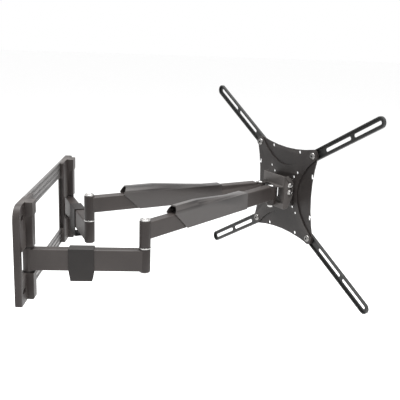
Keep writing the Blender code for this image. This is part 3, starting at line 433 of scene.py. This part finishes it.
class RepeatTree:
    """A Geometry Nodes tree that sets one piece on every point of its host."""

    def __init__(self, name: str) -> None:
        """Builds the tree with its named inputs."""
        self.tree = bpy.data.node_groups.new(name, "GeometryNodeTree")
        face = self.tree.interface
        face.new_socket("Points", in_out="INPUT", socket_type="NodeSocketGeometry")
        self.piece = face.new_socket("Piece", in_out="INPUT", socket_type="NodeSocketObject")
        self.size = face.new_socket("Size", in_out="INPUT", socket_type="NodeSocketFloat")
        self.finish = face.new_socket("Finish", in_out="INPUT", socket_type="NodeSocketMaterial")
        face.new_socket("Geometry", in_out="OUTPUT", socket_type="NodeSocketGeometry")
        nodes = self.tree.nodes
        links = self.tree.links
        entry = nodes.new("NodeGroupInput")
        leave = nodes.new("NodeGroupOutput")
        points = nodes.new("GeometryNodeMeshToPoints")
        info = nodes.new("GeometryNodeObjectInfo")
        info.transform_space = "ORIGINAL"
        spread = nodes.new("GeometryNodeInstanceOnPoints")
        real = nodes.new("GeometryNodeRealizeInstances")
        dress = nodes.new("GeometryNodeSetMaterial")
        links.new(entry.outputs["Points"], points.inputs["Mesh"])
        links.new(entry.outputs["Piece"], info.inputs["Object"])
        links.new(points.outputs["Points"], spread.inputs["Points"])
        links.new(info.outputs["Geometry"], spread.inputs["Instance"])
        links.new(entry.outputs["Size"], spread.inputs["Scale"])
        links.new(spread.outputs["Instances"], real.inputs["Geometry"])
        links.new(real.outputs["Geometry"], dress.inputs["Geometry"])
        links.new(entry.outputs["Finish"], dress.inputs["Material"])
        links.new(dress.outputs["Geometry"], leave.inputs["Geometry"])

    def spread(self, name: str, points: list[Vector], shape: bmesh.types.BMesh, matrix: Matrix,
               finish: Finish) -> bpy.types.Object:
        """Repeats a shape at points and gives one plain mesh.

        Args:
            name: The new piece's name.
            points: Where the copies go, in the local frame of the matrix.
            shape: The repeated shape, in the same frame, about its own origin.
            matrix: The frame's place in the world.
            finish: The finish of every copy.

        Returns:
            The piece, its place in its mesh.
        """
        pattern = plain_mesh(name + "_pattern", shape, finish)
        mesh = bpy.data.meshes.new(name)
        mesh.from_pydata([tuple(point) for point in points], [], [])
        host = bpy.data.objects.new(name, mesh)
        bpy.context.scene.collection.objects.link(host)
        step = host.modifiers.new("Repeat", "NODES")
        step.node_group = self.tree
        step[self.piece.identifier] = pattern
        step[self.size.identifier] = 1.0
        step[self.finish.identifier] = finish.material()
        bake_modifiers(host)
        bpy.data.objects.remove(pattern, do_unlink=True)
        host.data.transform(matrix)
        host.data.shade_smooth()
        host.data.set_sharp_from_angle(angle=math.radians(SHARP_ANGLE))
        return host


def stacked_rings(rows: list[tuple[float, float, bool]]) -> bmesh.types.BMesh:
    """Skins a stack of round and hexagonal rings round Z.

    Args:
        rows: Each ring's radius and level in millimetres, and whether it is a hexagon.

    Returns:
        The closed shape.
    """
    sides = HEXAGON_STEPS
    shape = bmesh.new()
    rings = []
    for size, level, hexagon in rows:
        verts = []
        for step in range(sides):
            angle = math.tau * step / sides
            reach = size
            if hexagon:
                local = (angle + math.pi / 6) % (math.pi / 3) - math.pi / 6
                reach = size * math.cos(math.pi / 6) / math.cos(local)
            spot = (reach * MM * math.cos(angle), reach * MM * math.sin(angle), level * MM)
            verts.append(shape.verts.new(spot))
        rings.append(verts)
    for one, two in zip(rings, rings[1:]):
        for step in range(sides):
            after = (step + 1) % sides
            shape.faces.new((one[step], one[after], two[after], two[step]))
    shape.faces.new(list(reversed(rings[0])))
    shape.faces.new(rings[-1])
    return shape


def hex_socket_screw(radius: float, height: float, socket: float, depth: float) -> bmesh.types.BMesh:
    """A button head with a hexagon socket, standing on Z = 0.

    Args:
        radius: The head's radius, in millimetres.
        height: The head's height.
        socket: The socket's radius to its corners.
        depth: The socket's depth.

    Returns:
        The shape of the head.
    """
    rows = [(radius * 0.5, -0.2, False), (radius, -0.2, False), (radius, height * 0.22, False)]
    for part in (0.93, 0.82, 0.70, 0.60):
        rows.append((radius * part, height * (1 - 0.78 * ((part - 0.5) / 0.5) ** 2), False))
    rows += [(socket * 1.15, height * 0.99, False), (socket, height * 0.93, True),
             (socket * 0.96, height - depth, True)]
    return stacked_rings(rows)


def hex_head(radius: float, height: float, washer: float) -> bmesh.types.BMesh:
    """A chamfered hexagon head on a round flange, standing on Z = 0; sizes in millimetres."""
    return stacked_rings([
        (radius * 0.6, -0.1, False), (washer, -0.1, False), (washer, 0.7, False), (washer * 0.93, 1.0, False),
        (radius * 0.985, 1.1, True), (radius, 1.4, True), (radius, height - 0.9, True),
        (radius * 0.90, height - 0.25, False), (radius * 0.80, height, False), (radius * 0.46, height, False),
        (radius * 0.40, height - 0.5, False), (0.3, height - 0.5, False)])


@dataclass
class WallFrame:
    """The two wall modules with their columns, and the ribbed bars between them.

    Args:
        bead_radius: Radius of the fine beads along the bars, in millimetres.
        bead_pitch: Distance between the beads.
        beads: Beads on each bar.
    """

    bead_radius: float = 0.55
    bead_pitch: float = 3.6
    beads: int = 9
    sides: tuple[str, ...] = ("left", "right")
    bars: tuple[str, ...] = ("top", "bottom")

    def build(self, repeat: RepeatTree) -> None:
        """Builds every piece of the wall frame."""
        for side in self.sides:
            eased("wall_module_" + side, COAT, 1.6, 3, 40.0)
            eased("column_upper_" + side, COAT, 0.9, 2, 25.0)
            eased("column_lower_" + side, COAT, 0.9, 2, 25.0)
            self._pin(side)
        for bar in self.bars:
            eased("crossbar_" + bar, RAIL_COAT, 0.5, 2, 25.0)
            self._beads(bar, repeat)

    def _pin(self, side: str) -> None:
        """Turns a wall pin and its two bushes."""
        name = "wall_pin_" + side
        centre, radius, low, high = upright(name)
        profile = [(0.0, low), *round_over(radius, low, high, 0.8), (0.0, high)]
        settle(plain_mesh(name + "_turned", lathe(profile), ZINC_PLATE, Matrix.Translation(centre)),
               ZINC_PLATE, "root", name)
        for level in ("lower", "upper"):
            ring_piece("wall_bush_" + level + "_" + side, CLIP_PLASTIC, radius + 0.25, 0.4)

    def _beads(self, bar: str, repeat: RepeatTree) -> None:
        """Lays fine beads along a bar's front."""
        node = "crossbar_" + bar
        low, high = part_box(node)
        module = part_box("wall_module_right")[0].x
        bead = bmesh.new()
        steps = 8
        ends = []
        for x in (-module + 0.6 * MM, module - 0.6 * MM):
            ends.append([bead.verts.new((x, self.bead_radius * MM * math.cos(math.tau * step / steps),
                                         self.bead_radius * MM * math.sin(math.tau * step / steps)))
                         for step in range(steps)])
        for step in range(steps):
            after = (step + 1) % steps
            bead.faces.new((ends[0][step], ends[0][after], ends[1][after], ends[1][step]))
        bead.faces.new(ends[0])
        bead.faces.new(ends[1])
        middle = (low.z + high.z) / 2
        first = middle - self.bead_pitch * MM * (self.beads - 1) / 2
        points = [Vector((0.0, low.y + self.bead_radius * MM, first + index * self.bead_pitch * MM))
                  for index in range(self.beads)]
        made = repeat.spread(node + "_beads", points, bead, Matrix.Identity(4), RAIL_COAT)
        settle(made, RAIL_COAT, "root")


@dataclass
class RearArm:
    """A rear arm: tube, knuckles, cable clip, and the elbow's pin and washer."""

    side: str
    bore: float = 6.2

    def build(self) -> None:
        """Builds every piece of the arm."""
        eased("rear_tube_" + self.side, COAT, 0.5, 2, 60.0)
        eased("cable_clip_" + self.side, CLIP_PLASTIC, 1.0, 3, 30.0)
        for name in ("rear_root_knuckle_", "rear_elbow_knuckle_"):
            ring_piece(name + self.side, COAT, self.bore, 0.9)
        ring_piece("elbow_washer_" + self.side, ZINC_PLATE, self.bore, 0.6)
        name = "elbow_pin_" + self.side
        centre, radius, low, high = upright(name)
        head = 2.2
        shank = self.bore - 0.2
        profile = [(0.0, low), *round_over(radius, low, low + head, 0.5), (shank, low + head),
                   (shank, high - 0.6), (shank - 0.6, high), (0.0, high)]
        turned = plain_mesh(name + "_turned", lathe(profile), ZINC_PLATE, Matrix.Translation(centre))
        settle(turned, ZINC_PLATE, "rear_arm_" + self.side, name)


@dataclass
class FrontArm:
    """A front arm: tube, ridged cover, knuckles and the bright elbow cap."""

    side: str
    elbow_bore: float = 6.3
    head_bore: float = 5.3

    def build(self) -> None:
        """Builds every piece of the arm."""
        eased("front_tube_" + self.side, COAT, 0.5, 2, 60.0)
        eased("arm_cover_" + self.side, COVER_PLASTIC, 0.9, 3, 12.0)
        ring_piece("front_elbow_knuckle_" + self.side, COAT, self.elbow_bore, 0.9)
        ring_piece("front_head_knuckle_" + self.side, COAT, self.head_bore, 0.9)
        name = "elbow_cap_" + self.side
        centre, radius, low, high = upright(name)
        dish = 0.7
        profile = [(0.0, low), *round_over(radius, low, high, 1.1), (radius * 0.72, high),
                   (radius * 0.66, high - dish), (0.0, high - dish)]
        turned = plain_mesh(name + "_turned", lathe(profile), ZINC_PLATE, Matrix.Translation(centre))
        settle(turned, ZINC_PLATE, "front_arm_" + self.side, name)


@dataclass
class Head:
    """The yoke that both front arms carry, with its pins and nuts."""

    pin_radius: float = 5.0
    dome: float = 3.2
    rim: float = 0.8

    def build(self) -> None:
        """Builds every piece of the head."""
        eased("head_yoke", PLATE_COAT, 0.5, 2, 40.0)
        for side in ("left", "right"):
            name = "head_pin_" + side
            centre, radius, low, high = upright(name)
            seat = high - self.dome
            arc = [(radius * math.cos(math.radians(angle)),
                    seat + self.rim + (self.dome - self.rim) * math.sin(math.radians(angle)))
                   for angle in range(0, 90, 15)]
            profile = [(0.0, low), (self.pin_radius, low), (self.pin_radius, seat), (radius, seat), *arc,
                       (0.0, high)]
            turned = plain_mesh(name + "_turned", lathe(profile), ZINC_PLATE, Matrix.Translation(centre))
            settle(turned, ZINC_PLATE, "head", name)
            eased("head_nut_" + side, ZINC_PLATE, 0.5, 2, 30.0)


@dataclass
class TiltHead:
    """The tilting bracket and the pressed plate, with bolts, screws and hole rims.

    Args:
        corner: Plate centre to its corner screws, in millimetres.
        inner: Plate centre to the middle hole pattern.
        small: Plate centre to the smallest hole pattern.
        hole: Radius of the round holes.
        small_hole: Radius of the two inner patterns' holes.
        rim: Width of the eased lip round a hole.
        emboss: How far the pressed cross stands behind the pockets.
    """

    corner: float = 100.0
    inner: float = 50.0
    small: float = 37.5
    hole: float = 4.0
    small_hole: float = 3.3
    rim: float = 1.0
    emboss: float = 3.0
    body: str = "tilt_head"
    signs: tuple[tuple[int, int], ...] = ((1, 1), (-1, 1), (1, -1), (-1, -1))
    names: tuple[str, ...] = ("tl", "tr", "bl", "br")

    def place(self) -> Place:
        """Gives the plate's frame: X across it, Y towards the wall, Z up, at its centre."""
        across = joint_axis("tilt")
        up = Vector((0.0, 0.0, 1.0))
        corners = [joint_place("swing_" + name) for name in self.names]
        centre = sum(corners, Vector()) / len(corners)
        return Place(centre, across, up.cross(across), up)

    def build(self, repeat: RepeatTree) -> None:
        """Builds every piece of the tilting head."""
        eased("tilt_bracket", PLATE_COAT, 0.4, 2, 40.0, True)
        eased("vesa_plate", PLATE_COAT, 0.0, 1, 40.0, True)
        self._corner_screws(repeat)
        self._rims(repeat)
        self._bolts()

    def _levels(self) -> tuple[float, float]:
        """Gives the levels of the plate's rear face and of its pockets, in metres from its centre."""
        base = self.place()
        plate = frame["nodes"]["vesa_plate"].data
        reach = [base.back.dot(vert.co - base.origin) for vert in plate.vertices]
        rear = max(reach)
        return rear, rear - self.emboss * MM

    def _facing(self) -> Matrix:
        """Gives the frame whose Z points from the plate towards the wall."""
        base = self.place()
        turn = Matrix((base.across, -base.up, base.back)).transposed().to_4x4()
        return Matrix.Translation(base.origin) @ turn

    def _corner_screws(self, repeat: RepeatTree) -> None:
        """Sets a socket screw on each corner of the plate, with a painted shadow on each socket's floor."""
        rear, _ = self._levels()
        points = [Vector((x * self.corner * MM, -z * self.corner * MM, rear)) for x, z in self.signs]
        head = hex_socket_screw(8.2, 3.7, 3.1, 2.4)
        screws = repeat.spread("corner_screws", points, head, self._facing(), SCREW_ZINC)
        settle(screws, SCREW_ZINC, self.body, *("corner_screw_" + name for name in self.names))
        # A dark disc on each socket's floor is the painted shadow inside the socket.
        floor = lathe([(0.0, 0.2), (2.9, 0.2), (2.9, 1.35), (0.0, 1.35)], 24)
        dark = repeat.spread("corner_screw_sockets", points, floor, self._facing(), SOCKET_SHADOW)
        settle(dark, SOCKET_SHADOW, self.body)

    def _rims(self, repeat: RepeatTree) -> None:
        """Lays an eased lip round each round hole of the plate."""
        rear, pocket = self._levels()
        groups = (("edge", self.hole, pocket, [(x * self.inner, z * self.corner) for x, z in self.signs]),
                  ("inner", self.small_hole, rear, [(x * self.inner, z * self.inner) for x, z in self.signs]),
                  ("small", self.small_hole, rear, [(x * self.small, z * self.small) for x, z in self.signs]))
        for name, radius, level, spots in groups:
            lip = lathe([(radius, -0.3), (radius + self.rim, -0.3), (radius + self.rim, 0.05),
                         (radius + self.rim * 0.5, 0.28), (radius + 0.1, 0.12)], 32)
            points = [Vector((x * MM, -z * MM, level)) for x, z in spots]
            made = repeat.spread("hole_rims_" + name, points, lip, self._facing(), PLATE_COAT)
            settle(made, PLATE_COAT, self.body)

    def _bolts(self) -> None:
        """Sets a flanged hexagon head over each tilt bolt."""
        across = self.place().across
        up = Vector((0.0, 0.0, 1.0))
        for kind in ("pivot", "lock"):
            for side, sign in (("left", 1), ("right", -1)):
                name = f"tilt_{kind}_bolt_{side}"
                verts = frame["nodes"][name].data.vertices
                spots = [sign * across.dot(vert.co) for vert in verts]
                outer = max(spots)
                heads = [vert.co for vert in verts if outer - sign * across.dot(vert.co) < 5.2 * MM]
                low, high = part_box(name)
                level = (low.z + high.z) / 2
                tip = min(spots)
                middle = sum((Vector(co) for co in heads), Vector()) / len(heads)
                seat = middle + across * sign * (outer - 4.8 * MM - sign * across.dot(middle))
                seat.z = level
                facing = sign * across
                turn = Matrix((up.cross(facing), up, facing)).transposed().to_4x4()
                made = hex_head(5.9, 4.8, 6.9)
                end = (tip - outer) / MM + 4.8
                shank = lathe([(0.0, end), (3.0, end), (3.0, 0.5), (0.0, 0.5)], 24)
                scratch = bpy.data.meshes.new("shank")
                shank.to_mesh(scratch)
                shank.free()
                made.from_mesh(scratch)
                bpy.data.meshes.remove(scratch)
                piece = plain_mesh(name + "_head", made, ZINC_PLATE, Matrix.Translation(seat) @ turn)
                settle(piece, ZINC_PLATE, self.body, name)


@dataclass
class ExtensionArm:
    """A slotted channel arm that swings on a corner of the plate, with its nut."""

    corner: str

    def build(self) -> None:
        """Builds the arm and its nut."""
        eased("extension_arm_" + self.corner, ARM_COAT, 0.6, 2, 40.0)
        eased("arm_nut_" + self.corner, ZINC_PLATE, 0.3, 2, 40.0)


@dataclass
class Studio:
    """The camera, the pale floor and the soft lights."""

    position: tuple[float, float, float] = (-1.5703, -0.3774, 0.4808)
    yaw: float = 0.024
    pitch: float = 0.256
    roll: float = -0.031
    lens: float = 66.83
    shift: tuple[float, float] = (0.0035, -0.0112)
    floor_level: float = -0.62
    lamps: tuple[tuple[str, tuple[float, float, float], float, float], ...] = field(default=(
        ("key", (-1.3, -1.3, 1.9), 1.2, 28.0),
        ("fill", (-1.7, 0.7, 0.6), 1.4, 4.0),
        ("top", (0.2, -0.2, 2.0), 1.5, 80.0)))

    def build(self) -> None:
        """Builds the camera, the floor and the lights."""
        self._camera()
        self._floor()
        for name, place, size, power in self.lamps:
            self._lamp(name, Vector(place), size, power)
        world = bpy.data.worlds.new("studio")
        world.use_nodes = True
        sky = world.node_tree.nodes["Background"]
        sky.inputs["Color"].default_value = (1.0, 1.0, 1.0, 1.0)
        sky.inputs["Strength"].default_value = 1.0
        bpy.context.scene.world = world
        bpy.context.scene.view_settings.view_transform = "Standard"

    def _camera(self) -> None:
        """Sets the camera at its viewing angle."""
        ahead = Vector((math.cos(self.yaw) * math.cos(self.pitch), math.sin(self.yaw) * math.cos(self.pitch),
                        -math.sin(self.pitch)))
        right = Vector((math.sin(self.yaw), -math.cos(self.yaw), 0.0))
        down = ahead.cross(right)
        turned_right = math.cos(self.roll) * right + math.sin(self.roll) * down
        turned_down = -math.sin(self.roll) * right + math.cos(self.roll) * down
        data = bpy.data.cameras.new("camera")
        data.lens = self.lens
        data.shift_x, data.shift_y = self.shift
        data.clip_start = 0.01
        camera = bpy.data.objects.new("camera", data)
        turn = Matrix((turned_right, -turned_down, -ahead)).transposed().to_4x4()
        camera.matrix_world = Matrix.Translation(Vector(self.position)) @ turn
        bpy.context.scene.collection.objects.link(camera)
        bpy.context.scene.camera = camera

    def _floor(self) -> None:
        """Lays the plain pale floor."""
        shape = bmesh.new()
        bmesh.ops.create_grid(shape, x_segments=1, y_segments=1, size=14.0)
        shape.transform(Matrix.Translation((0.0, 0.0, self.floor_level)))
        mesh = bpy.data.meshes.new("floor")
        shape.to_mesh(mesh)
        shape.free()
        pale = bpy.data.materials.new("pale_floor")
        pale.use_nodes = True
        shader = pale.node_tree.nodes["Principled BSDF"]
        shader.inputs["Base Color"].default_value = (0.98, 0.98, 0.98, 1.0)
        shader.inputs["Roughness"].default_value = 0.9
        mesh.materials.append(pale)
        floor = bpy.data.objects.new("floor", mesh)
        bpy.context.scene.collection.objects.link(floor)

    @staticmethod
    def _lamp(name: str, place: Vector, size: float, power: float) -> None:
        """Adds a square area lamp that faces the middle of the mount."""
        data = bpy.data.lights.new(name, "AREA")
        data.size = size
        data.energy = power
        lamp = bpy.data.objects.new(name, data)
        aim = Vector((0.05, -0.3, 0.0)) - place
        lamp.location = place
        lamp.rotation_euler = aim.to_track_quat("-Z", "Y").to_euler()
        bpy.context.scene.collection.objects.link(lamp)


def main() -> None:
    """Builds the whole mount and its studio."""
    logging.basicConfig(level=logging.INFO, format="%(name)s: %(message)s")
    repeat = RepeatTree("Repeat on points")
    Studio().build()
    WallFrame().build(repeat)
    for side in ("left", "right"):
        RearArm(side).build()
        FrontArm(side, head_bore=HEAD_BORES[side]).build()
    Head().build()
    TiltHead().build(repeat)
    for corner in ("tl", "tr", "bl", "br"):
        ExtensionArm(corner).build()


if __name__ == "__main__":
    main()
